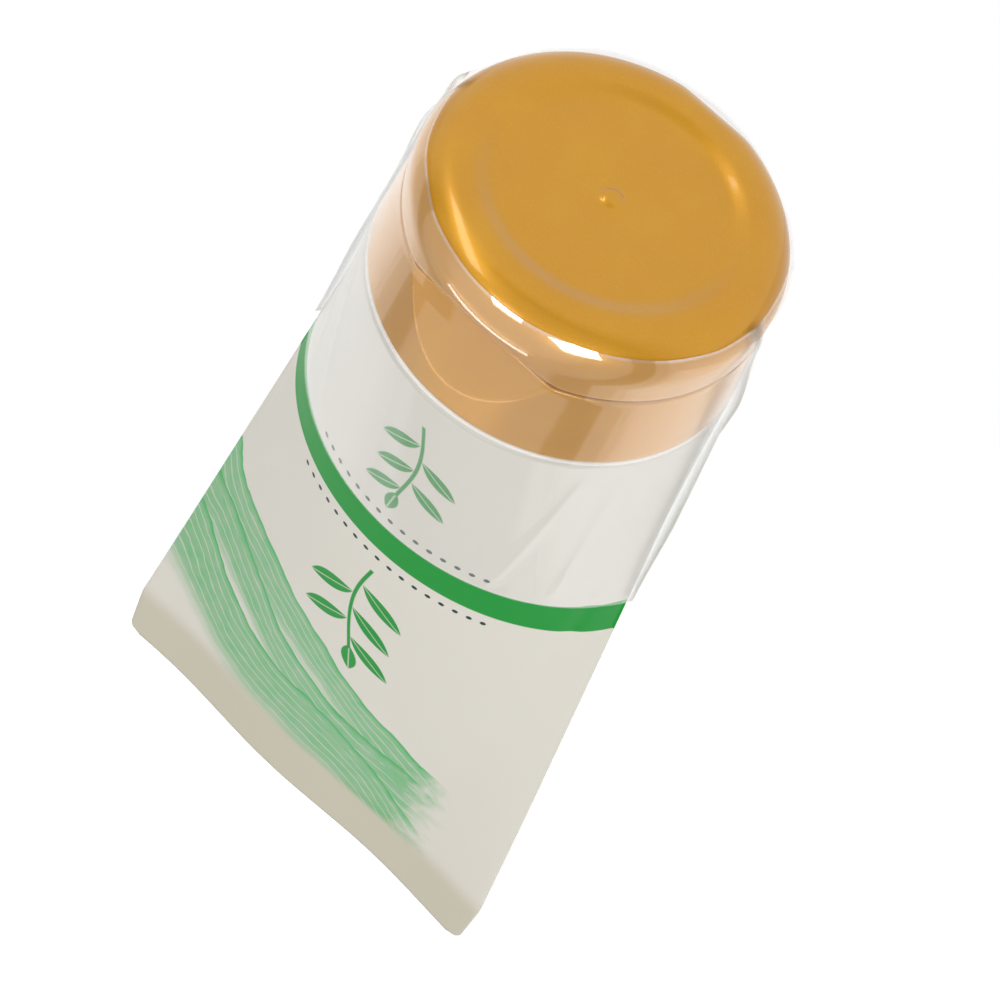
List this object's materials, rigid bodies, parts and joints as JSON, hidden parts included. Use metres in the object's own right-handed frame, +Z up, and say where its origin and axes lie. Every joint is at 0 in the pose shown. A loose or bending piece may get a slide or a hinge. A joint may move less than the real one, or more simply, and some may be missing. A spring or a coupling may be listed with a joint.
{
  "type": "lubricant tube",
  "caption": "Soft tube with a flat end seal and a hinged flip-top cap under a clear shrink band, lying on its back.",
  "frame": {"origin": "on the resting surface, under the middle of the lying tube's box", "axes": "+Z up, +Y from the cap towards the flat seal, +X across the seal"},
  "size_m": [0.0786, 0.1718, 0.0518],
  "materials": {
    "tube_plastic": "satin off-white soft plastic with a plain green ring and soft green print",
    "head_plastic": "satin off-white moulded plastic",
    "cap_plastic": "pearly gold moulded plastic",
    "clear_film": "clear glossy shrink film"
  },
  "bodies": {
    "tube": {"tube_sleeve": "tube_plastic", "tube_head": "head_plastic", "cap_base": "cap_plastic", "shrink_band": "clear_film"},
    "lid": {"cap_lid": "cap_plastic"}
  },
  "joints": [
    {"name": "lid_hinge", "type": "hinge", "parent": "tube", "child": "lid", "pos_m": [0, -0.07791, 0.00421], "axis": [1, 0, 0], "range_deg": [0, 140], "deforming": ["shrink_band"]}
  ]
}
